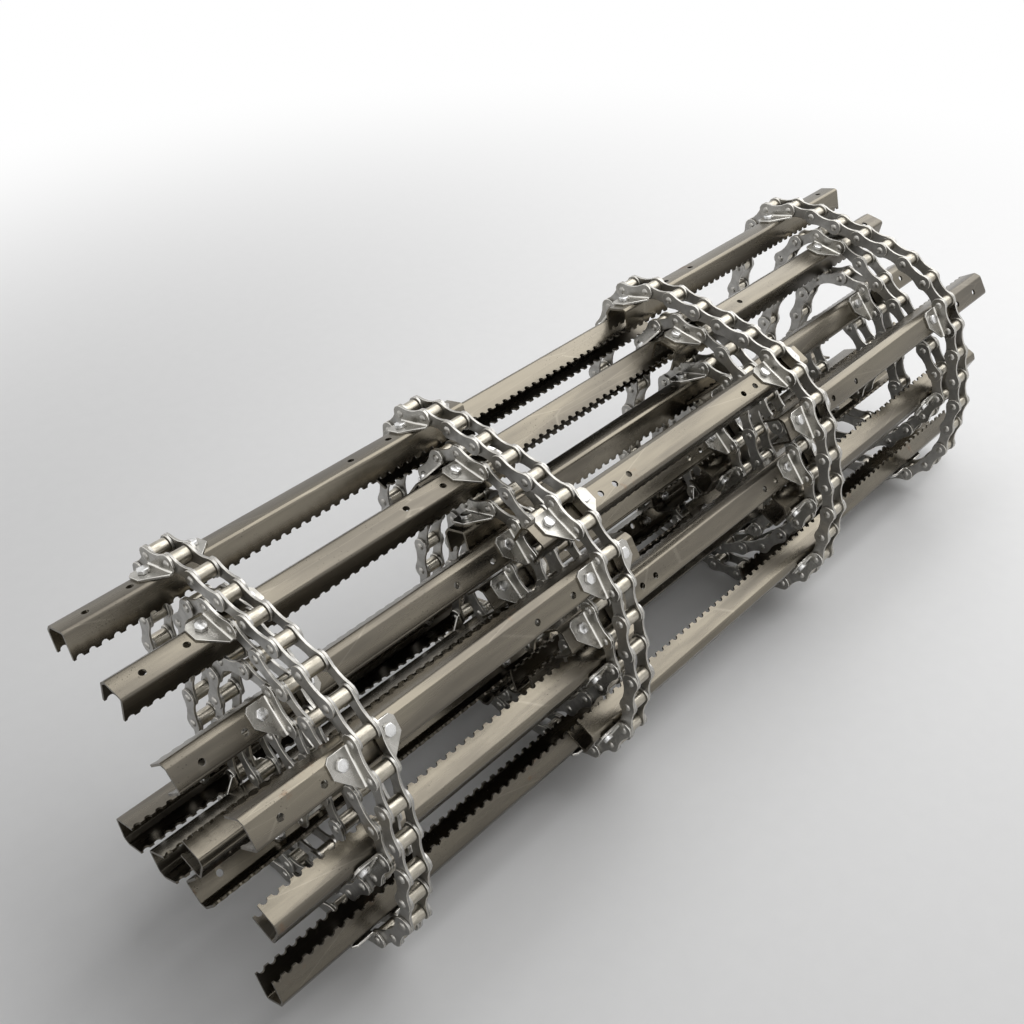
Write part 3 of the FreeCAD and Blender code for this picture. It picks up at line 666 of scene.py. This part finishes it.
pin_radius = 4 * MM
pin_sides = 12
head_radius = 5.2 * MM
head_height = 1.8 * MM
head_profile = [(1.0, 0.59), (0.48, 0.90), (0.0, 1.0)]
head = [(outer_out + up * head_height, out * head_radius) for up, out in head_profile]
half_pin = head + [(outer_out, pin_radius)]
pin_steel = steel("riveted_pin_steel", (0.52, 0.505, 0.47), (0.31, 0.30, 0.275),
                  (0.68, 0.66, 0.60), roughness=0.32, clouds=140.0)
pin = turned([(-x, radius) for x, radius in half_pin] + half_pin[::-1], pin_sides)
piece("wound_pins", [lay(at_pin(pin, end), outer_wound, strands) for end in (0, 1)], pin_steel,
      "pin_steel", "rolled_chain", *wound_strands)
for row in range(1, free_links + 1, 2):
    piece(f"row_{row}_pins",
          [lay(at_pin(pin, end), [first_free + row - 1], strands) for end in (0, 1)], pin_steel,
          "pin_steel", f"link_row_{row}", f"pins_{row}")

# Slats.
# Channels folded from 3 mm sheet, web outwards, with a sloped strip beside the web and saw-like
# notches along both free edges that grip the crop. Left and right slats join an outer strand to
# an inner one and reach far past the outer; middle slats join the two inner strands.

slat_sheet = 3 * MM
slat_start = 6 * MM
slat_web = 30 * MM
slat_bevel = 7 * MM
strip_turn = math.pi / 4
slat_depth = 34 * MM
fold_radius = 3.4 * MM
notch_pitch = 14.5 * MM
notch_radius = 8.5 / 2 * MM
notch_shares = np.array([-1, -0.92, -0.6, 0, 0.6, 0.92, 1])
hole_radius = 8.5 / 2 * MM
over_outer = 140 * MM
over_inner = 56 * MM
web_level = -plate_radius
first_hole = 34 * MM
next_hole = 53 * MM
inner_holes = (58, 118)
middle_holes = (58, 84.5, 111)
fold_points = 4
drill_reach = 6 * MM
drill_sides = 20
slat_edge_break = 0.3 * MM


def folded_profile():
    """The sheet's middle line (u, v) with its outward normals: up the trailing flange, along the
    web, down the sloped strip and the leading flange, every corner rounded by an arc that touches
    both of its sides."""
    half = slat_sheet / 2
    low = web_level - slat_depth
    strip_u = slat_start + slat_web - half * math.tan(strip_turn / 2)
    flange_u = slat_start + slat_web + slat_bevel - half
    corners = np.array([(slat_start + half, low),
                        (slat_start + half, web_level - half),
                        (strip_u, web_level - half),
                        (flange_u, web_level - slat_bevel - half / 2),
                        (flange_u, low)])
    runs = np.diff(corners, axis=0)
    runs /= np.linalg.norm(runs, axis=1)[:, None]
    line = [corners[0]]
    normals = [(-runs[0][1], runs[0][0])]
    for before, after, corner in zip(runs, runs[1:], corners[1:-1]):
        turn = math.acos(np.clip(before @ after, -1, 1))
        begin = math.atan2(before[1], before[0])
        touching = corner - before * fold_radius * math.tan(turn / 2)
        middle = touching + np.array((before[1], -before[0])) * fold_radius
        for angle in np.linspace(begin, begin - turn, fold_points):
            normal = np.array((-math.sin(angle), math.cos(angle)))
            line.append(middle + normal * fold_radius)
            normals.append(normal)
    line.append(corners[-1])
    normals.append((-runs[-1][1], runs[-1][0]))
    return np.array(line), np.array(normals)


def notch_columns(length):
    """Places along a slat, seven to a notch, with the depth of the half-round notch at each."""
    offsets = notch_radius * notch_shares
    depths = np.sqrt(np.maximum(notch_radius**2 - offsets**2, 0))
    middles = notch_pitch * (np.arange(int(length / notch_pitch)) + 0.5)
    x = np.concatenate([[0], (middles[:, None] + offsets).ravel(), [length]])
    return x, np.concatenate([[0], np.tile(depths, len(middles)), [0]])


def slat(length, holes):
    """The folded profile carried from end to end; at each notch both free edges are raised by the
    notch's depth. Spare holes are cut through the web."""
    line, normals = folded_profile()
    ring = np.concatenate([line + normals * slat_sheet / 2,
                           (line - normals * slat_sheet / 2)[::-1]])
    x, depth = notch_columns(length)
    rings = np.empty((len(x), len(ring), 3))
    rings[:, :, 0] = x[:, None]
    rings[:, :, 1:] = ring
    last = len(line) - 1
    for edge in (0, last, last + 1, len(ring) - 1):
        rings[:, edge, 2] += depth
    drill = turned([(-drill_reach, hole_radius), (drill_reach, hole_radius)], drill_sides)
    upright = drill.points[:, [1, 2, 0]]
    web_middle = (0, slat_start + slat_web / 2, web_level)
    points = np.concatenate([upright + web_middle + np.array((place, 0, 0)) for place in holes])
    shift = np.arange(len(holes))[:, None] * len(upright)
    cutter = outward(Shape(points, (shift + drill.loops).ravel(), np.tile(drill.sizes, len(holes)),
                           np.tile(drill.worn, len(holes))))
    return finished(skin(rings), slat_edge_break, cutter)


outer_gap = strand_x[1] - strand_x[0]
middle_gap = strand_x[2] - strand_x[1]
side_length = over_outer + outer_gap + over_inner
middle_length = middle_gap + 2 * over_inner
side_holes = np.array([first_hole, first_hole + next_hole]
                      + [side_length - over_inner - place * MM for place in inner_holes[::-1]])
web_holes = [over_inner + place * MM for place in middle_holes]
web_holes += [middle_length - over_inner - place * MM for place in middle_holes[1::-1]]
slat_steel = steel("oiled_slat_steel", (0.198, 0.177, 0.139), (0.112, 0.101, 0.084),
                   (0.58, 0.53, 0.44), roughness=0.25, clouds=30.0, stretch=(0.12, 1.0, 1.0),
                   scratches=0.08, specks=0.6, rust=0.55)
slat_kinds = {
    "left": (slat(side_length, side_holes), strand_x[0] - over_outer, pair_rows, 1),
    "middle": (slat(middle_length, web_holes), strand_x[1] - over_inner, middle_rows, 3),
    "right": (slat(side_length, side_length - side_holes), strand_x[2] - over_inner, pair_rows, 1),
}
for side, (shape, left_end, rows, free_row) in slat_kinds.items():
    piece(f"wound_{side}_channels", [lay(shape, rows[rows < first_free], left_end)], slat_steel,
          "slat_steel", "rolled_chain", f"wound_{side}_slats")
    piece(f"row_{free_row}_{side}_channel", [lay(shape, rows[rows >= first_free], left_end)],
          slat_steel, "slat_steel", f"link_row_{free_row}", f"{side}_slat_{free_row}")

# Slat bolts and nuts.
# Bright zinc-plated hexagon bolts, one through each ear and the web under it, with a nut and a
# little thread showing inside the channel.

bolt_x = outer_out + 13.9 * MM
hex_radius = 13 / math.sqrt(3) * MM
bolt_radius = 4 * MM
bolt_head = 5.3 * MM
nut_height = 6.5 * MM
thread_out = 2.5 * MM
thread_pitch = 1.25 * MM
thread_run_out = 0.4 * MM
thread_root = 0.86 * bolt_radius
thread_end = 0.78 * bolt_radius
thread_sides = 10
hex_points = 12
washer_height = 0.5 * MM
washer_corner = 0.94 * hex_radius
crown_corner = 0.97 * hex_radius
nut_face_corner = 0.93 * hex_radius
head_chamfer = 0.6 * MM
nut_chamfer = 1 * MM
head_edge_break = 0.15 * MM
nut_edge_break = 0.25 * MM


def six_sided(levels):
    """A hexagon standing outwards on the link: rows are (height, corner radius, roundness), and
    roundness draws the twelve points of a ring from the hexagon to a circle inside it."""
    angle = np.arange(hex_points) * 2 * math.pi / hex_points
    to_flat = math.cos(math.pi / 6)
    hexagon = np.where(np.arange(hex_points) % 2 == 0, 1.0, to_flat)
    rings = []
    for height, corner, roundness in levels:
        radius = corner * (hexagon * (1 - roundness) + to_flat * roundness)
        rings.append(np.column_stack([radius * np.cos(angle), radius * np.sin(angle),
                                      np.full(hex_points, height)]))
    return skin(np.array(rings))


def over_bolt(shape, level):
    """The shape for lay() on the bolt's axis, with its foot at a level."""
    return shape._replace(points=shape.points + (bolt_x, bolt_u, level))


ear_top = web_level + plate_thick
nut_seat = web_level - slat_sheet
hex_head = six_sided([(0.0, washer_corner, 1),
                      (washer_height, washer_corner, 1),
                      (washer_height, hex_radius, 0),
                      (bolt_head - head_chamfer, hex_radius, 0),
                      (bolt_head, crown_corner, 1)])
hex_nut = six_sided([(-nut_height, nut_face_corner, 1),
                     (-nut_height + nut_chamfer, hex_radius, 0),
                     (-nut_chamfer, hex_radius, 0),
                     (0.0, nut_face_corner, 1)])
half_turns = np.arange(0, thread_out - thread_run_out, thread_pitch / 2)
thread_radius = np.where(np.arange(len(half_turns)) % 2, bolt_radius, thread_root)
thread = turned([*zip(half_turns, thread_radius), (thread_out, thread_end)], thread_sides)
thread = outward(thread._replace(points=thread.points[:, [1, 2, 0]] * (1, 1, -1)))
zinc = steel("bright_zinc_plate", (0.74, 0.74, 0.74), (0.57, 0.565, 0.55), (0.86, 0.86, 0.85),
             roughness=0.26, clouds=120.0)
hex_head = finished(over_bolt(hex_head, ear_top), head_edge_break)
hex_nut = finished(over_bolt(hex_nut, nut_seat), nut_edge_break)
thread = over_bolt(thread, nut_seat - nut_height)


def bolt_groups(shape, links):
    """One copy over every bolt of the links."""
    return on_strands(shape, links, eared_links)


piece("wound_bolts", bolt_groups(hex_head, outer_wound), zinc, "zinc_plate", "rolled_chain",
      "wound_slat_bolts")
piece("wound_nuts", bolt_groups(hex_nut, outer_wound) + bolt_groups(thread, outer_wound), zinc,
      "zinc_plate", "rolled_chain", "wound_slat_bolts")
for row in eared_free_rows:
    links = [first_free + row - 1]
    piece(f"row_{row}_bolts", bolt_groups(hex_head, links) + bolt_groups(thread, links), zinc,
          "zinc_plate", f"link_row_{row}", f"slat_bolts_{row}")
    piece(f"row_{row}_nuts", bolt_groups(hex_nut, links), zinc, "zinc_plate", f"link_row_{row}",
          f"slat_nuts_{row}")

# Floor, lamps and camera.
# A pale floor that fades to a white surround, a wide soft lamp above the roll's right half, a
# weaker one at the camera's side, and a camera at the photograph's distance, height and angle.

floor_radius = 6.0
floor_height = -0.5 * MM
rim_points = 96
rim = np.arange(rim_points) * 2 * math.pi / rim_points
floor_corners = np.column_stack([floor_radius * np.cos(rim), floor_radius * np.sin(rim),
                                 np.full(rim_points, floor_height)])
floor_mesh = bpy.data.meshes.new("floor")
floor_mesh.from_pydata(floor_corners.tolist(), [], [list(range(rim_points))])
floor = bpy.data.objects.new("floor", floor_mesh)
bpy.context.scene.collection.objects.link(floor)


def seen_ray(tree):
    """1 for rays that show the background: camera, glossy and transmission rays."""
    rays = tree.nodes.new("ShaderNodeLightPath").outputs
    seen = arithmetic(tree, "MAXIMUM", rays["Is Camera Ray"], rays["Is Glossy Ray"])
    return arithmetic(tree, "MAXIMUM", seen, rays["Is Transmission Ray"])


floor_paint = bpy.data.materials.new("pale_floor")
floor_paint.use_nodes = True
tree = floor_paint.node_tree
shader = tree.nodes["Principled BSDF"]
on_floor = tree.nodes.new("ShaderNodeTexCoord").outputs["Object"]
speckle = join(tree, "ShaderNodeTexNoise", None, Vector=on_floor, Scale=40.0, Detail=4.0)["Fac"]
tree.links.new(mixed(tree, speckle, (0.78, 0.78, 0.78, 1), (0.81, 0.81, 0.81, 1)),
               shader.inputs["Base Color"])
shader.inputs["Roughness"].default_value = 0.9
shader.inputs["Specular IOR Level"].default_value = 0.0
fade_from = 0.8
fade_to = 2.4
distance = join(tree, "ShaderNodeVectorMath", {"operation": "LENGTH"}, _0=on_floor)["Value"]
fading = arithmetic(tree, "MULTIPLY", between(tree, distance, fade_from, fade_to), seen_ray(tree))
white = join(tree, "ShaderNodeEmission")["Emission"]
blend = tree.nodes.new("ShaderNodeMixShader")
for socket, source in zip(blend.inputs, (fading, shader.outputs["BSDF"], white)):
    tree.links.new(source, socket)
tree.links.new(blend.outputs["Shader"], tree.nodes["Material Output"].inputs["Surface"])
floor_mesh.materials.append(floor_paint)

world = bpy.data.worlds.new("surround")
bpy.context.scene.world = world
world.use_nodes = True
tree = world.node_tree
backdrop = tree.nodes["Background"]
backdrop.inputs["Color"].default_value = (1, 1, 1, 1)
room_light = 0.3
strength = between(tree, seen_ray(tree), low=0.0, high=1.0, to_low=room_light, to_high=1.0)
tree.links.new(strength, backdrop.inputs["Strength"])

# The camera's place is set from the second strand, at the middle of the outer wrap's pins.
outer_wrap = slice(57, 74)
roll_middle = np.array([strand_x[1], *pins[outer_wrap].mean(axis=0)])
camera_from_roll = np.array((-0.895, -0.730, 0.962))
view_direction = np.array((0.589, 0.534, -0.606))
focal_pixels = 1271
image_pixels = 1024


def aim(obj, place, direction):
    """Put a lamp or camera somewhere, facing along a direction, its upper edge level."""
    back = -np.array(direction, float) / np.linalg.norm(direction)
    right = np.cross((0, 0, 1), back)
    right /= np.linalg.norm(right)
    matrix = np.eye(4)
    matrix[:3, :3] = np.column_stack([right, np.cross(back, right), back])
    matrix[:3, 3] = place
    obj.matrix_world = Matrix(matrix.tolist())
    bpy.context.scene.collection.objects.link(obj)
    return obj


def soft_lamp(name, place, towards, width, height, radiance):
    """An area lamp. Its power in watts is four times its radiance times its area."""
    lamp = bpy.data.lights.new(name, "AREA")
    lamp.shape = "RECTANGLE"
    lamp.size, lamp.size_y = width, height
    lamp.energy = 4 * radiance * width * height
    return aim(bpy.data.objects.new(name, lamp), place, np.array(towards) - np.array(place))


soft_lamp("overhead_lamp", place=(1.15, 0.0, 1.8), towards=(0.7, 0, 0.6), width=2.5, height=2.9,
          radiance=1.6)
soft_lamp("side_lamp", place=(-2.4, -1.2, 1.6), towards=(0, 0, 0.2), width=1.2, height=1.2,
          radiance=0.8)

camera_data = bpy.data.cameras.new("camera")
camera_data.sensor_width = 36
camera_data.lens = focal_pixels / image_pixels * camera_data.sensor_width
camera = aim(bpy.data.objects.new("camera", camera_data), roll_middle + camera_from_roll,
             view_direction)
bpy.context.scene.camera = camera
bpy.context.scene.view_settings.view_transform = "Standard"
